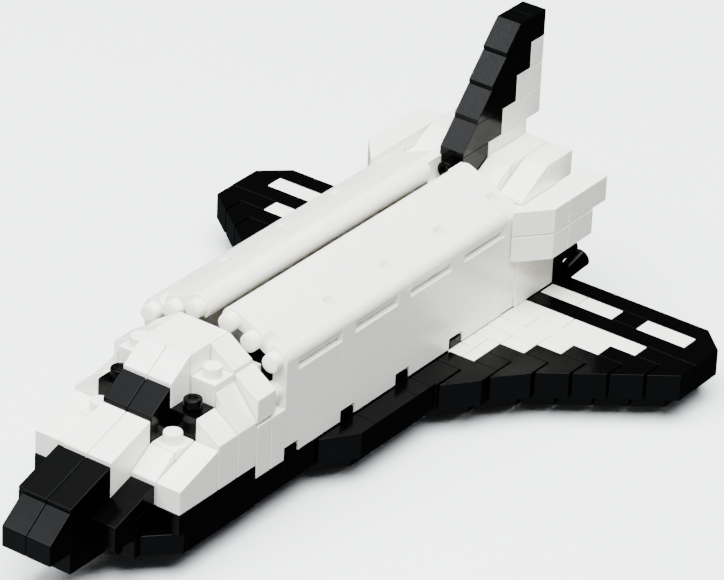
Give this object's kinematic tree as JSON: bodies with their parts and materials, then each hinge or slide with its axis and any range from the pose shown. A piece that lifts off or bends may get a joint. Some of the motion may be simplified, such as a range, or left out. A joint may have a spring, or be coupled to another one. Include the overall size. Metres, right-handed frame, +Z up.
{
  "type": "toy space shuttle orbiter built of micro bricks",
  "caption": "Toy space shuttle orbiter of small interlocking bricks, white over black, with stepped delta wings, fin, engine bells and opening payload bay doors.",
  "frame": {"origin": "on the surface the toy stands on, under the middle of its bounding box", "axes": "-Y towards the nose, +X towards the orbiter's port side, +Z up"},
  "size_m": [0.0798, 0.1092, 0.0437],
  "materials": {
    "moulded_white": "gloss",
    "moulded_black": "gloss"
  },
  "bodies": {
    "orbiter": {"aft_body": "moulded_white", "bay_corner_port": "moulded_white", "bay_corner_starboard": "moulded_white", "bay_front_bulkhead": "moulded_white", "bay_rear_frame": "moulded_white", "cabin_roof": "moulded_white", "canopy": "moulded_white", "cheek_dark_port": "moulded_black", "cheek_dark_starboard": "moulded_black", "cheek_inner_port": "moulded_white", "cheek_inner_starboard": "moulded_white", "cheek_outer_port": "moulded_white", "cheek_outer_starboard": "moulded_white", "elevon_inner_port": "moulded_white", "elevon_inner_starboard": "moulded_white", "elevon_outer_port": "moulded_white", "elevon_outer_starboard": "moulded_white", "engine_bell_port": "moulded_black", "engine_bell_starboard": "moulded_black", "engine_bell_top": "moulded_black", "engine_bracket": "moulded_black", "fin_leading_edge": "moulded_black", "fin_panel": "moulded_white", "forebody": "moulded_white", "fuselage_deck": "moulded_black", "hinge_rail_port": "moulded_black", "hinge_rail_starboard": "moulded_black", "lower_deck": "moulded_black", "nose_hull": "moulded_black", "nose_keel": "moulded_black", "nose_tip": "moulded_black", "nose_top": "moulded_black", "pod_inner_port": "moulded_white", "pod_inner_starboard": "moulded_white", "pod_outer_port": "moulded_white", "pod_outer_starboard": "moulded_white", "shoulder_port": "moulded_white", "shoulder_starboard": "moulded_white", "side_aft_port": "moulded_white", "side_aft_starboard": "moulded_white", "side_fore_port": "moulded_white", "side_fore_starboard": "moulded_white", "side_mid_port": "moulded_white", "side_mid_starboard": "moulded_white", "side_upper_port": "moulded_white", "side_upper_starboard": "moulded_white", "step_dark_port": "moulded_black", "step_dark_starboard": "moulded_black", "step_high_port": "moulded_white", "step_high_starboard": "moulded_white", "step_low_port": "moulded_white", "step_low_starboard": "moulded_white", "windscreen": "moulded_black", "wing_inlay_port": "moulded_white", "wing_inlay_starboard": "moulded_white", "wing_port": "moulded_black", "wing_starboard": "moulded_black"},
    "port_door": {"payload_door_port": "moulded_white"},
    "starboard_door": {"payload_door_starboard": "moulded_white"}
  },
  "joints": [
    {"name": "port_door_hinge", "type": "hinge", "parent": "orbiter", "child": "port_door", "pos_m": [0.012, 0, 0.00925], "axis": [0, 1, 0], "range_deg": [0, 90]},
    {"name": "starboard_door_hinge", "type": "hinge", "parent": "orbiter", "child": "starboard_door", "pos_m": [-0.012, 0, 0.00925], "axis": [0, -1, 0], "range_deg": [0, 90]}
  ]
}
